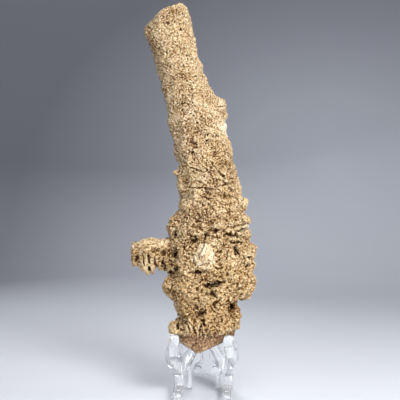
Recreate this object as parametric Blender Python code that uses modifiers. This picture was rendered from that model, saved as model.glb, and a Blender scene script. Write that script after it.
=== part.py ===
"""A desert rose: one tall column of sand-filled gypsum, cradled in a small clear plastic easel.

The stone is modelled in its own frame, with its lowest tip at the origin, X across and Y to the back.
It is then turned, leaned back and lifted onto the easel, which stands on the ground. Units are metres.
"""

import math
import random

import bmesh
import bpy
from mathutils import Matrix, Vector
from mathutils.bvhtree import BVHTree

MM = 0.001

# Driving dimensions, in millimetres and degrees
SEAT_HEIGHT = 36.0  # top of the easel's two arms above the ground
STONE_LIFT = 30.0  # the stone's tip above the ground before it is lowered
STONE_SEAT_X = -0.8  # its tip to the left of the easel's middle
STONE_TURN = 4.0  # the stone stands a little askew in its easel
STONE_LEAN = 6.0  # and leans back against it
CONTACT_GAP = 0.3  # kept between the stone and what holds it
DRAW_BACK = 40.0  # how far the stone is drawn back before each slide into its seat
EDGE_STEPS = 6  # points tried along each edge as it comes to rest

# How finely the stone is fused, and how many triangles are kept of it
FUSE_SIZE = 1.3
HOLLOW_FUSE_SIZE = 0.9
SWELLING_SPACING = 9.0
SWELLING_HEIGHT = 2.2
STONE_TRIANGLES = 7400

# The column, from the tip up: height, axis in X, half width, half depth
COLUMN = (
    (-8, 2.0, 20.5, 13.5),
    (10, 2.5, 21.5, 14.5),
    (24, 3.8, 18.9, 15.5),
    (35, 3.8, 19.9, 16.8),
    (49, 3.0, 23.5, 18.5),
    (66, 3.5, 24.0, 21.5),
    (81, 3.5, 23.0, 21.0),
    (95, 5.6, 21.4, 20.0),
    (108, 6.8, 20.6, 19.0),
    (122, 5.6, 20.6, 18.5),
    (136, 3.4, 18.8, 17.5),
    (150, 1.2, 18.6, 17.0),
    (163, -3.0, 19.4, 17.0),
    (174, -5.0, 19.4, 16.5),
    (185, -8.6, 18.0, 15.5),
    (197, -13.3, 16.4, 15.0),
    (211, -18.0, 15.9, 15.0),
    (222, -21.5, 17.1, 15.5),
    (233, -24.3, 17.8, 15.5),
    (243, -26.4, 18.4, 15.5),
    (258, -30.4, 18.5, 15.5),
)
RING_POINTS = 40
OUTSIDE = 90.0  # a distance that is clear of the stone on every side

# Lobes and ledges that stand clear of the column: centre and half sizes, then the tilt about Y
LOBES = (
    ((12.0, -4.0, 177.5), (6.5, 8.0, 5.0), 25),  # shelf under the neck, right
    ((16.0, 4.0, 171.0), (3.5, 6.0, 4.0), 0),
    ((15.0, -3.0, 162.5), (3.6, 5.0, 4.0), 0),  # bruised knob, right
    ((-20.6, -2.0, 165.0), (4.2, 6.0, 5.5), 0),  # knob, left
    ((-18.0, -2.0, 158.5), (4.6, 6.0, 4.5), 0),
    ((-18.0, -2.0, 128.5), (3.6, 4.0, 2.4), 0),
    ((-13.0, -1.0, 120.5), (4.8, 9.0, 7.5), 0),
    ((19.0, -1.0, 131.0), (5.6, 8.0, 7.0), 0),
    ((29.0, -3.0, 106.0), (3.8, 6.0, 4.6), 0),  # knob, right
    ((-19.0, -3.0, 89.5), (5.8, 8.0, 8.0), 0),  # lobe, left
    ((25.0, -4.0, 94.0), (9.6, 12.0, 3.2), -6),  # upper ledge, right
    ((26.0, -5.0, 84.6), (9.4, 12.0, 3.6), 4),  # lower ledge, right
    ((28.0, -4.0, 72.0), (9.9, 11.0, 8.0), 0),  # upper lobe, right
    ((26.3, -3.0, 51.0), (11.0, 12.0, 14.0), -8),  # lower lobe, right
    ((26.0, 3.0, 89.4), (7.6, 7.0, 6.0), 0),  # between them, set back
    ((29.4, 0.0, 62.0), (8.4, 8.0, 7.0), 0),
    ((-20.5, -2.0, 47.0), (6.8, 9.0, 7.5), 20),  # lobe, left
    ((-13.6, -2.0, 33.5), (5.6, 8.0, 8.0), 0),
    ((-18.5, -6.0, 18.0), (4.2, 5.0, 5.0), 0),  # knob, low left
    ((22.5, -3.0, 27.5), (4.6, 7.0, 8.5), 0),  # lobe, low right
    ((22.4, -2.0, 18.5), (5.2, 5.0, 2.4), -8),  # ledge, low right
    ((2.0, -13.0, 66.0), (13.0, 10.5, 16.0), 0),  # the middle of the front stands out
    ((-9.0, -10.0, 45.0), (11.0, 10.0, 12.0), 0),
    ((16.0, -11.0, 62.0), (10.0, 10.0, 11.0), 10),
    ((4.0, 11.0, 75.0), (14.0, 11.0, 17.0), 0),  # swellings at the back
    ((-13.0, 9.0, 63.0), (9.0, 9.0, 10.0), 15),
    ((15.0, 9.0, 92.0), (9.0, 9.0, 8.0), 0),
    ((-4.0, 9.0, 102.0), (13.0, 10.0, 12.0), 12),
    ((8.0, 8.0, 128.0), (12.0, 9.0, 13.0), -10),
    ((-14.0, 6.0, 148.0), (7.0, 8.0, 11.0), 10),
)

# The side arm: a core with a smooth cap, and upright discs strung along it
ARM_Y = -3.0
ARM_CORE = ((-14, 70.0, 8.6), (-26, 69.5, 6.6), (-36, 70.5, 6.6), (-44, 71.5, 6.6))
ARM_CAP = ((-32.5, -3.0, 75.8), (17.9, 9.5, 6.2), 2)
ARM_DISCS = (  # X, Z, half height, half depth, half thickness
    (-47.4, 70.0, 8.6, 8.6, 3.0),
    (-41.6, 68.2, 10.2, 9.8, 1.9),
    (-37.0, 67.4, 11.4, 10.8, 1.9),
    (-32.6, 68.4, 10.0, 10.4, 1.8),
    (-26.6, 67.0, 10.2, 10.8, 2.4),
    (-20.8, 65.6, 10.4, 10.8, 1.8),
)

# Blades on the front face: X, Z, half length, half thickness, tilt from upright, how far they stand out
FRONT_BLADES = (
    (1.6, 70.5, 8.2, 6.2, 20, 3.2),  # the smooth pale one
    (8.5, 62.0, 8.0, 2.4, 55, 3.2),
    (-7.0, 60.5, 8.0, 2.2, -40, 3.4),
    (-13.5, 57.5, 8.0, 2.4, 35, 3.6),
    (5.0, 18.5, 8.0, 2.2, 22, 3.6),  # the fan above the base
    (-1.5, 20.0, 8.0, 2.2, 4, 3.4),
    (-8.0, 19.0, 8.0, 2.2, -16, 3.4),
    (12.5, 20.0, 7.0, 2.2, 48, 3.0),
    (17.0, 44.0, 9.0, 2.4, -35, 3.6),
    (12.0, 34.0, 8.0, 2.2, 30, 3.4),
    (-10.0, 36.0, 9.0, 2.2, -28, 3.4),
    (-2.0, 40.0, 8.0, 2.4, 60, 3.4),
    (20.0, 60.0, 8.0, 2.4, 25, 3.4),
    (-6.0, 84.0, 8.0, 2.4, 10, 3.2),
    (3.0, 88.0, 9.0, 2.4, 12, 3.4),
    (12.0, 99.0, 9.0, 2.2, 62, 2.6),
    (-8.0, 103.0, 9.0, 2.2, 70, 2.4),
    (15.0, 116.0, 9.0, 2.2, 48, 2.4),
    (9.0, 132.0, 9.0, 2.2, 52, 2.4),
    (-5.5, 150.5, 12.0, 2.4, 58, 3.0),
)

# Hollows in the front face: X, Z, half width, half height, depth
HOLLOWS = (
    (9.5, 50.5, 7.5, 2.6, 9.0),
    (6.5, 42.5, 5.0, 2.4, 8.0),
    (-1.0, 58.0, 7.0, 1.9, 6.0),
    (0.0, 28.8, 3.2, 2.0, 6.0),
    (1.8, 22.6, 1.8, 2.4, 5.0),
    (20.8, 32.0, 2.6, 4.0, 6.0),
    (-6.0, 81.5, 3.0, 3.0, 6.0),
    (2.4, 83.5, 1.8, 4.5, 5.0),
    (14.0, 87.0, 9.0, 2.2, 8.0),
    (21.5, 89.0, 8.4, 1.4, 9.0),
    (23.0, 79.3, 6.0, 1.6, 8.0),
    (23.5, 73.0, 2.8, 3.2, 6.0),
    (-19.0, 72.0, 3.4, 3.2, 7.0),
    (-17.6, 60.5, 2.8, 2.6, 6.0),
    (-19.0, 86.0, 1.2, 5.0, 5.0),
    (-16.8, 19.0, 1.8, 3.0, 4.0),
    (-8.0, 151.0, 5.5, 4.5, 2.6),
)

# Scattered blades: lowest and highest height, how many, half length, how far they stand out
SCATTER = (
    (16, 100, 130, 6.5, 3.8),
    (98, 168, 80, 6.5, 2.5),
    (168, 230, 40, 5.5, 1.9),
)

BLADE_HALF_THICK = 2.4

# Breaks: a point on the plane, and the direction of what is taken off
BREAKS = (
    ((-28.8, 0.0, 246.4), (-0.33, -0.10, 0.94)),  # the broken top, in four faces
    ((-28.8, 0.0, 246.4), (-0.66, -0.12, 0.74)),
    ((-13.5, 0.0, 250.5), (0.62, 0.0, 0.78)),
    ((-9.4, 0.0, 244.5), (0.90, 0.0, 0.44)),
    ((-38.2, -6.5, 232.0), (-0.80, -0.56, 0.20)),  # the flat facet, top left
    ((-3.0, 0.0, 0.0), (-0.50, -0.06, -0.86)),  # the wedge under the base
    ((-3.0, 0.0, 0.0), (0.40, -0.06, -0.92)),
    ((0.0, -15.6, 0.0), (0.0, -0.94, -0.34)),
)

# The easel's two side brackets, each with an arm, a column and a foot
BRACKET_X = 20.4
BRACKET_HALF = 3.6
BRACKET_ROUNDING = 1.2
BRACKET_SPLAY = 7.0  # each leans in towards its foot, degrees
BRACKET_OUTLINE = (  # Y, Z
    (-25.0, 36.0),
    (5.5, 36.4),
    (8.4, 32.0),
    (7.6, 24.0),
    (3.4, 8.0),
    (3.0, -1.4),
    (-28.4, -1.4),
    (-28.6, 3.0),
    (-26.0, 4.4),
    (-9.0, 5.6),
    (-5.4, 9.0),
    (-2.4, 20.0),
    (-4.4, 26.0),
    (-25.0, 28.0),
)
# Centre and half sizes of what each bracket carries, on its outer side
SHOULDER = ((20.2, -24.0, 31.6), (5.0, 6.6, 4.9), 2.2)  # the wide front end of the arm
KNOB = ((19.2, -27.6, 39.0), (3.5, 3.1, 7.0), 2.4)  # the upturned stop
TOE = ((14.5, -9.0, 1.4), (6.0, 5.0, 2.8), 0.9)  # a low toe on the inner side of the foot

# The wishbone between the brackets: X and height along its slope, left half from the top down
WISHBONE_OUTLINE = (
    (-5.6, 70.0),
    (-6.2, 50.0),
    (-8.8, 36.0),
    (-12.4, 28.0),
    (-16.6, 22.0),
    (-20.5, 17.5),
    (-19.5, 9.5),
    (-15.0, 8.6),
    (-13.0, 12.0),
    (-6.5, 26.0),
    (-2.2, 37.0),
    (0.0, 39.5),
)
PLATE_ROUNDING = 0.5
WISHBONE_HALF_THICK = 1.6
WISHBONE_LEAN = 12.0
WISHBONE_Y = 1.2
EAR = ((6.1, 18.6, 64.0), (1.2, 3.4, 3.6), 0.6)  # two ears behind its top hold the back leg

# The back leg: X and height along its slope, left half from the top down
BACK_LEG_OUTLINE = (
    (-3.6, 66.0),
    (-4.2, 62.0),
    (-4.2, 16.0),
    (-6.0, 12.5),
    (-9.4, 10.0),
    (-10.4, 6.0),
    (-9.2, 1.6),
    (-8.6, -1.5),
    (-3.4, -1.5),
    (-3.0, 1.4),
    (0.0, 2.4),
)
BACK_LEG_HALF_THICK = 1.4
BACK_LEG_TOP_Y = 19.4
BACK_LEG_TOP = 64.0  # the height where the ears hold it
BACK_LEG_LEAN = 15.0


def clear_scene():
    for obj in list(bpy.data.objects):
        bpy.data.objects.remove(obj)


def collection(name):
    made = bpy.data.collections.new(name)
    bpy.context.scene.collection.children.link(made)
    return made


def material(name, colour, roughness, alpha=1.0):
    made = bpy.data.materials.new(name)
    made.use_nodes = True
    shader = made.node_tree.nodes["Principled BSDF"]
    shader.inputs["Base Color"].default_value = (*colour, 1.0)
    shader.inputs["Roughness"].default_value = roughness
    shader.inputs["Metallic"].default_value = 0.0
    shader.inputs["Alpha"].default_value = alpha
    return made


def put(mesh, name, home):
    obj = bpy.data.objects.new(name, mesh)
    home.objects.link(obj)
    return obj


def mesh_from(shape, name):
    mesh = bpy.data.meshes.new(name)
    shape.to_mesh(mesh)
    shape.free()
    return mesh


def evaluated_mesh(obj):
    """The mesh that an object's modifiers or its curve make, as a mesh of its own."""
    bpy.context.view_layer.update()
    graph = bpy.context.evaluated_depsgraph_get()
    mesh = bpy.data.meshes.new_from_object(obj.evaluated_get(graph), depsgraph=graph)
    mesh.name = obj.name
    return mesh


def settle(obj):
    """Applies an object's modifiers."""
    mesh = evaluated_mesh(obj)
    obj.modifiers.clear()
    obj.data = mesh


def column_mesh():
    """The column as a loft of ovals, closed at both ends."""
    shape = bmesh.new()
    rings = []
    for height, middle, wide, deep in COLUMN:
        ring = []
        for i in range(RING_POINTS):
            angle = 2 * math.pi * i / RING_POINTS
            x = middle + wide * math.cos(angle)
            ring.append(shape.verts.new(Vector((x, deep * math.sin(angle), height)) * MM))
        rings.append(ring)
    for low, high in zip(rings, rings[1:]):
        for i in range(RING_POINTS):
            j = (i + 1) % RING_POINTS
            shape.faces.new((low[i], low[j], high[j], high[i]))
    shape.faces.new(list(reversed(rings[0])))
    shape.faces.new(rings[-1])
    shape.normal_update()
    return shape


def add_lens(shape, centre, half, turn):
    """A flattened ball of these half sizes, turned and moved, in millimetres."""
    size = Matrix.Diagonal((*half, 1.0))
    place = Matrix.Scale(MM, 4) @ Matrix.Translation(centre) @ turn @ size
    bmesh.ops.create_icosphere(shape, subdivisions=3, radius=1.0, matrix=place)


def tilt_about_y(degrees):
    return Matrix.Rotation(math.radians(degrees), 4, "Y")


def on_surface(tree, start, towards):
    """Where a line meets the column, and how the surface faces there, in millimetres."""
    point, normal, _, _ = tree.ray_cast(Vector(start) * MM, Vector(towards).normalized())
    return point / MM, normal


def column_middle(height):
    """The X of the column's middle at a height, in millimetres."""
    for low, high in zip(COLUMN, COLUMN[1:]):
        if height <= high[0]:
            share = (height - low[0]) / (high[0] - low[0])
            return low[1] + share * (high[1] - low[1])
    return COLUMN[-1][1]


def add_lobes(shape):
    for centre, half, tilt in LOBES:
        add_lens(shape, centre, half, tilt_about_y(tilt))


def add_arm(shape):
    for (x0, z0, r0), (x1, z1, r1) in zip(ARM_CORE, ARM_CORE[1:]):
        middle = ((x0 + x1) / 2, ARM_Y, (z0 + z1) / 2)
        half = (abs(x1 - x0) * 0.9, (r0 + r1) / 2, (r0 + r1) / 2)
        add_lens(shape, middle, half, Matrix.Identity(4))
    centre, half, tilt = ARM_CAP
    add_lens(shape, centre, half, tilt_about_y(tilt))
    for x, z, high, deep, thick in ARM_DISCS:
        tilt = tilt_about_y(random.uniform(-6, 6))
        add_lens(shape, (x, ARM_Y, z), (thick, deep, high), tilt)


def add_front_blades(shape, tree):
    for x, z, length, thick, tilt, proud in FRONT_BLADES:
        point, _ = on_surface(tree, (x, -OUTSIDE, z), (0, 1, 0))
        sunk = Vector((x, point.y + length - proud, z))
        add_lens(shape, sunk, (thick, length, length), tilt_about_y(-tilt))


def add_scattered_blades(shape, tree):
    """Discs on edge, sunk into the column all round, with no two faces alike."""
    for lowest, highest, count, length, proud in SCATTER:
        for _ in range(count):
            height = random.uniform(lowest, highest)
            around = random.uniform(0, 2 * math.pi)
            away = Vector((math.cos(around), math.sin(around), 0))
            axis = Vector((column_middle(height), 0, height))
            point, normal = on_surface(tree, axis + away * OUTSIDE, -away)
            size = length * random.uniform(0.75, 1.25)
            upright = normal.to_track_quat("X", "Z").to_matrix().to_4x4()
            swing = Matrix.Rotation(random.uniform(0, math.pi), 4, "X")
            centre = point + normal * (proud - size)
            add_lens(shape, centre, (size, size, BLADE_HALF_THICK), upright @ swing)


def tree_of(obj):
    shape = bmesh.new()
    shape.from_mesh(obj.data)
    tree = BVHTree.FromBMesh(shape)
    shape.free()
    return tree


def hollow_cutter(tree, home):
    """All the hollows as one mesh of lenses that sink into the front face."""
    shape = bmesh.new()
    for x, z, wide, high, deep in HOLLOWS:
        point, _ = on_surface(tree, (x, -OUTSIDE, z), (0, 1, 0))
        add_lens(shape, (x, point.y, z), (wide, deep, high), tilt_about_y(random.uniform(-8, 8)))
    cutter = put(mesh_from(shape, "hollows"), "hollows", home)
    fuse(cutter, HOLLOW_FUSE_SIZE)
    cutter.hide_render = True
    cutter.display_type = "WIRE"
    return cutter


def fuse(obj, size):
    """Makes everything in a mesh one skin."""
    remesh = obj.modifiers.new("fuse", "REMESH")
    remesh.mode = "VOXEL"
    remesh.voxel_size = size * MM
    remesh.adaptivity = 0.0
    settle(obj)


def keep_largest(obj):
    """Drops any loose scrap beside the main body."""
    shape = bmesh.new()
    shape.from_mesh(obj.data)
    left = set(shape.verts)
    islands = []
    while left:
        island = set()
        edge_of = [left.pop()]
        while edge_of:
            vert = edge_of.pop()
            island.add(vert)
            near = [e.other_vert(vert) for e in vert.link_edges]
            fresh = [v for v in near if v in left]
            left.difference_update(fresh)
            edge_of.extend(fresh)
        islands.append(island)
    islands.sort(key=len)
    for island in islands[:-1]:
        bmesh.ops.delete(shape, geom=list(island), context="VERTS")
    shape.to_mesh(obj.data)
    shape.free()


def lump(obj, scale, strength):
    """Uneven swellings all over, this many millimetres apart and this high."""
    noise = bpy.data.textures.new("swellings", "CLOUDS")
    noise.noise_scale = scale * MM
    noise.noise_depth = 1
    displace = obj.modifiers.new("swellings", "DISPLACE")
    displace.texture = noise
    displace.texture_coords = "LOCAL"
    displace.mid_level = 0.5
    displace.strength = strength * MM
    settle(obj)


def cut(obj, cutter):
    boolean = obj.modifiers.new("cut", "BOOLEAN")
    boolean.operation = "DIFFERENCE"
    boolean.solver = "EXACT"
    boolean.object = cutter
    settle(obj)


def break_off(obj, point, direction):
    """Takes off all beyond a plane and closes the face."""
    shape = bmesh.new()
    shape.from_mesh(obj.data)
    everything = shape.verts[:] + shape.edges[:] + shape.faces[:]
    made = bmesh.ops.bisect_plane(
        shape, geom=everything, plane_co=Vector(point) * MM, plane_no=direction, clear_outer=True
    )
    rim = [part for part in made["geom_cut"] if isinstance(part, bmesh.types.BMEdge)]
    bmesh.ops.edgeloop_fill(shape, edges=rim)
    bmesh.ops.triangulate(shape, faces=shape.faces[:])
    shape.to_mesh(obj.data)
    shape.free()


def decimate(obj, triangles):
    now = sum(len(face.vertices) - 2 for face in obj.data.polygons)
    less = obj.modifiers.new("fewer faces", "DECIMATE")
    less.ratio = triangles / now
    settle(obj)


def make_stone(home, helpers, look):
    core = column_mesh()
    tree = BVHTree.FromBMesh(core)
    add_lobes(core)
    add_arm(core)
    add_front_blades(core, tree)
    add_scattered_blades(core, tree)
    stone = put(mesh_from(core, "desert_rose"), "desert_rose", home)
    fuse(stone, FUSE_SIZE)
    keep_largest(stone)
    lump(stone, SWELLING_SPACING, SWELLING_HEIGHT)
    fuse(stone, FUSE_SIZE)
    cut(stone, hollow_cutter(tree_of(stone), helpers))
    for point, direction in BREAKS:
        break_off(stone, point, direction)
    fuse(stone, FUSE_SIZE)
    keep_largest(stone)
    decimate(stone, STONE_TRIANGLES)
    stone.data.materials.append(look)
    return stone


def flat_piece(name, outline, half_thick, rounding, home):
    """A moulded plate with rounded edges, from a closed outline, in millimetres."""
    curve = bpy.data.curves.new(name, "CURVE")
    curve.dimensions = "2D"
    curve.fill_mode = "BOTH"
    curve.extrude = (half_thick - rounding) * MM
    curve.bevel_depth = rounding * MM
    curve.bevel_resolution = 1
    curve.offset = -rounding * MM
    line = curve.splines.new("POLY")
    line.points.add(len(outline) - 1)
    line.use_cyclic_u = True
    for spot, (u, v) in zip(line.points, outline):
        spot.co = (u * MM, v * MM, 0.0, 1.0)
    drawn = put(curve, name + "_outline", home)
    shape = bmesh.new()
    shape.from_mesh(evaluated_mesh(drawn))
    bpy.data.objects.remove(drawn)
    bmesh.ops.remove_doubles(shape, verts=shape.verts[:], dist=0.00001)
    return mesh_from(shape, name)


def join_solid(target, other):
    boolean = target.modifiers.new("join", "BOOLEAN")
    boolean.operation = "UNION"
    boolean.solver = "EXACT"
    boolean.object = other
    settle(target)
    bpy.data.objects.remove(other)


def box(name, centre, half, rounding, home):
    """A block with rounded edges, in millimetres."""
    shape = bmesh.new()
    size = Matrix.Diagonal((2 * half[0] * MM, 2 * half[1] * MM, 2 * half[2] * MM, 1.0))
    place = Matrix.Translation(Vector(centre) * MM)
    bmesh.ops.create_cube(shape, size=1.0, matrix=place @ size)
    obj = put(mesh_from(shape, name), name, home)
    bevel = obj.modifiers.new("rounding", "BEVEL")
    bevel.width = rounding * MM
    bevel.segments = 2
    settle(obj)
    return obj


def mirrored(half):
    """A left half outline and its right half, as one closed outline."""
    ends_on_axis = half[-1][0] == 0.0
    other = half[:-1] if ends_on_axis else half
    return list(half) + [(-x, v) for x, v in reversed(other)]


def bracket(side, home):
    """One side of the easel, drawn from the side and splayed, with its shoulder and knob."""
    mesh = flat_piece("bracket", BRACKET_OUTLINE, BRACKET_HALF, BRACKET_ROUNDING, home)
    across = Matrix(((0, 0, 1, 0), (1, 0, 0, 0), (0, 1, 0, 0), (0, 0, 0, 1)))
    splay = Matrix.Rotation(math.radians(side * BRACKET_SPLAY), 4, "Y")
    seat = Vector((0, 0, SEAT_HEIGHT)) * MM
    lean_in = Matrix.Translation(seat) @ splay @ Matrix.Translation(-seat)
    out = Matrix.Translation(Vector((side * BRACKET_X, 0, 0)) * MM)
    mesh.transform(out @ lean_in @ across)
    made = put(mesh, "bracket", home)
    for (x, y, z), half, rounding in (SHOULDER, KNOB):
        join_solid(made, box("block", (side * x, y, z), half, rounding, home))
    return made


def stood_up(mesh, lean, y):
    """Stands a flat piece up, leaning back by an angle, its foot at this Y."""
    upright = Matrix.Rotation(math.radians(90 - lean), 4, "X")
    mesh.transform(Matrix.Translation(Vector((0, y, 0)) * MM) @ upright)


def make_wishbone(home, helpers):
    outline = mirrored(WISHBONE_OUTLINE)
    mesh = flat_piece("easel_frame", outline, WISHBONE_HALF_THICK, PLATE_ROUNDING, helpers)
    stood_up(mesh, WISHBONE_LEAN, WISHBONE_Y)
    return put(mesh, "easel_frame", home)


def join_frame(frame, brackets, helpers, look):
    """The wishbone and everything moulded in one with it."""
    for piece in brackets:
        join_solid(frame, piece)
    for side in (-1, 1):
        for (x, y, z), half, rounding in (TOE, EAR):
            join_solid(frame, box("block", (side * x, y, z), half, rounding, helpers))
    break_off(frame, (0, 0, 0), (0, 0, -1))
    frame.data.materials.append(look)


def make_back_leg(home, helpers, look):
    outline = mirrored(BACK_LEG_OUTLINE)
    mesh = flat_piece("easel_back_leg", outline, BACK_LEG_HALF_THICK, PLATE_ROUNDING, helpers)
    foot_y = BACK_LEG_TOP_Y + BACK_LEG_TOP * math.sin(math.radians(BACK_LEG_LEAN))
    stood_up(mesh, -BACK_LEG_LEAN, foot_y)
    leg = put(mesh, "easel_back_leg", home)
    break_off(leg, (0, 0, 0), (0, 0, -1))
    leg.data.materials.append(look)
    return leg


def points_along_edges(obj):
    """Points spread along every edge of a mesh."""
    spots = obj.data.vertices
    for edge in obj.data.edges:
        start, end = (spots[i].co for i in edge.vertices)
        for step in range(EDGE_STEPS):
            yield start.lerp(end, step / EDGE_STEPS)


def room_between(one, other, way):
    """The shortest distance from one object to another along a direction, in millimetres."""
    best = 1000.0
    for start, tree, towards in ((one, tree_of(other), way), (other, tree_of(one), -way)):
        for point in points_along_edges(start):
            _, _, _, distance = tree.ray_cast(point, towards)
            if distance is not None:
                best = min(best, distance / MM)
    return best


def slide(stone, others, way):
    """Draws the stone well back, then moves it along a direction until it all but touches."""
    stone.data.transform(Matrix.Translation(-way * DRAW_BACK * MM))
    room = min(room_between(stone, other, way) for other in others) - CONTACT_GAP
    stone.data.transform(Matrix.Translation(way * room * MM))


def seat_stone(stone, wishbone, brackets):
    """Turns the stone, leans it, brings it back to the wishbone and lowers it onto the arms."""
    turn = Matrix.Rotation(math.radians(STONE_TURN), 4, "Z")
    lean = Matrix.Rotation(math.radians(-STONE_LEAN), 4, "X")
    before = Matrix.Translation(Vector((STONE_SEAT_X, -OUTSIDE, STONE_LIFT)) * MM)
    stone.data.transform(before @ turn @ lean)
    slide(stone, [wishbone], Vector((0, 1, 0)))
    slide(stone, brackets, Vector((0, 0, -1)))
    slide(stone, [wishbone], Vector((0, 1, 0)))


def centre_all(pieces):
    """Brings the whole object over the middle of the ground, without moving it up or down."""
    lows = [min(v.co[axis] for piece in pieces for v in piece.data.vertices) for axis in range(3)]
    highs = [max(v.co[axis] for piece in pieces for v in piece.data.vertices) for axis in range(3)]
    middle = [(low + high) / 2 for low, high in zip(lows, highs)]
    for piece in pieces:
        piece.data.transform(Matrix.Translation((-middle[0], -middle[1], -lows[2])))


def main():
    random.seed(11)
    clear_scene()
    home = collection("desert_rose_on_easel")
    helpers = collection("cutters")
    helpers.hide_render = True
    sandy = material("sandy gypsum", (0.53, 0.40, 0.25), 0.9)
    clear = material("clear plastic", (0.9, 0.93, 0.95), 0.1, 0.35)
    stone = make_stone(home, helpers, sandy)
    frame = make_wishbone(home, helpers)
    brackets = [bracket(side, helpers) for side in (-1, 1)]
    seat_stone(stone, frame, brackets)
    join_frame(frame, brackets, helpers, clear)
    leg = make_back_leg(home, helpers, clear)
    centre_all([stone, frame, leg])


main()
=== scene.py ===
import math

import bpy
import numpy as np
from mathutils import Matrix, Vector, noise
from mathutils.bvhtree import BVHTree


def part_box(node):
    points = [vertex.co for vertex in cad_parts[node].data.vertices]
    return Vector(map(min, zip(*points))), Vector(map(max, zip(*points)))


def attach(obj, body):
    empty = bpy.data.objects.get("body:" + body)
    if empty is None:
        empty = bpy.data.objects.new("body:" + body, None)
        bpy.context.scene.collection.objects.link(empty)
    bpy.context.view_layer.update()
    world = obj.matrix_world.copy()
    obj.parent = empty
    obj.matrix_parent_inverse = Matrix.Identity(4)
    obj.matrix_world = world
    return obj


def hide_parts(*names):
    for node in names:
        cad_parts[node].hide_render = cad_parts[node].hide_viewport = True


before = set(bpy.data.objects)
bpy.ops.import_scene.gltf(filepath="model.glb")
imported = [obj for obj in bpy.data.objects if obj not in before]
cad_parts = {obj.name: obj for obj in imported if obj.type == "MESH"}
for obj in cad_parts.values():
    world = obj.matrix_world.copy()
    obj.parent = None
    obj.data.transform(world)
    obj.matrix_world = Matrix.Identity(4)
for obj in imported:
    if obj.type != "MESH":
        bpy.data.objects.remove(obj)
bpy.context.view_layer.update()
bpy.ops.object.select_all(action="DESELECT")


# The body of the desert rose: a column of gypsum blades that grew through damp sand and hold so much
# of it that the whole is one rough tan stone. The blades stand on edge all over it, and it is snapped
# across at both ends.
MM = 0.001
DRAFT_SKIN = 1.0 * MM  # how fine the skin is before the blades are set on it
BODY_SKIN = 0.46 * MM  # and how fine it is once they are fused into it
DRAWN_IN = 0.2 * MM  # how far the stone is drawn in, which leaves room for its blades
SLAB_EDGES = (0.0, 80.0 * MM, 122.0 * MM, 190.0 * MM, 300.0 * MM)  # the heights that part its four pieces
draw = np.random.default_rng(7)


def pick(obj):
    bpy.ops.object.select_all(action="DESELECT")
    obj.select_set(True)
    bpy.context.view_layer.objects.active = obj


def apply_all(obj):
    pick(obj)
    for modifier in list(obj.modifiers):
        bpy.ops.object.modifier_apply(modifier=modifier.name)


def fuse(obj, size):
    """Makes everything in a mesh one skin of this fineness."""
    skin = obj.modifiers.new("fuse", "REMESH")
    skin.mode = "VOXEL"
    skin.voxel_size = size
    apply_all(obj)


def spots_of(obj):
    """Its points and their normals, as arrays."""
    count = len(obj.data.vertices)
    points = np.empty(count * 3, np.float32)
    normals = np.empty(count * 3, np.float32)
    obj.data.vertices.foreach_get("co", points)
    obj.data.vertices.foreach_get("normal", normals)
    return points.reshape(-1, 3).astype(float), normals.reshape(-1, 3).astype(float)


def put_back(obj, points):
    obj.data.vertices.foreach_set("co", points.reshape(-1).astype(np.float32))
    obj.data.update()


def tree_of(obj):
    points, _ = spots_of(obj)
    return BVHTree.FromPolygons([tuple(p) for p in points], [tuple(f.vertices) for f in obj.data.polygons])


def front_of(tree, x, z):
    """The spot on the front of the stone at this X and Z, in millimetres."""
    return tree.ray_cast(Vector((x * MM, -0.2, z * MM)), Vector((0, 1, 0)))[0]


def merged_copy(name, node_name):
    """A copy of a CAD node's mesh as an object of its own, with its loose triangles merged."""
    made = bpy.data.objects.new(name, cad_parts[node_name].data.copy())
    bpy.context.collection.objects.link(made)
    pick(made)
    bpy.ops.object.mode_set(mode="EDIT")
    bpy.ops.mesh.select_all(action="SELECT")
    bpy.ops.mesh.remove_doubles(threshold=1e-6)
    bpy.ops.object.mode_set(mode="OBJECT")
    return made


body = merged_copy("rose_body", "desert_rose")
fuse(body, DRAFT_SKIN)
outside = tree_of(body)
points, normals = spots_of(body)
put_back(body, points - normals * DRAWN_IN)

HOLLOW_EDGE = 2.2  # how far the edge of a hollow wanders, in millimetres
GAP_EDGE = 0.4
HOLLOWS = (  # X and Z on the front, half width, half height, lean in degrees, depth
    (4.5, 90.0, 6.0, 1.5, 8, 2.6),
    (19.3, 81.0, 3.6, 1.5, 22, 4.0),
    (12.4, 79.2, 3.8, 2.2, 4, 4.5),
    (16.6, 76.6, 2.6, 1.4, 0, 3.0),
    (13.6, 73.6, 4.6, 1.7, -6, 4.0),
    (7.5, 60.2, 3.2, 1.4, 10, 3.2),
    (8.6, 55.0, 1.4, 2.6, 14, 3.2),
    (27.3, 63.6, 2.2, 4.2, -8, 2.4),
    (1.1, 110.4, 1.8, 4.0, -40, 3.0),
    (28.1, 115.0, 6.6, 1.7, -3, 5.0),
    (31.6, 102.9, 1.6, 3.8, 33, 4.5),
    (37.8, 92.0, 1.6, 1.8, 0, 2.0),
    (-11.8, 100.6, 2.6, 2.2, 20, 4.0),
    (-14.3, 87.8, 3.4, 1.8, 10, 3.5),
    (-10.1, 91.1, 2.0, 2.6, -30, 3.5),
    (-39.2, 98.0, 1.6, 2.6, 10, 2.2),
    (-19.7, 92.9, 1.4, 5.0, 4, 5.5),
    (-20.5, 101.5, 1.4, 2.5, 0, 4.0),
    (-0.3, 178.0, 4.6, 2.8, -40, 1.8),
    (-1.0, 172.0, 2.2, 2.0, 0, 1.4),
)
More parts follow.
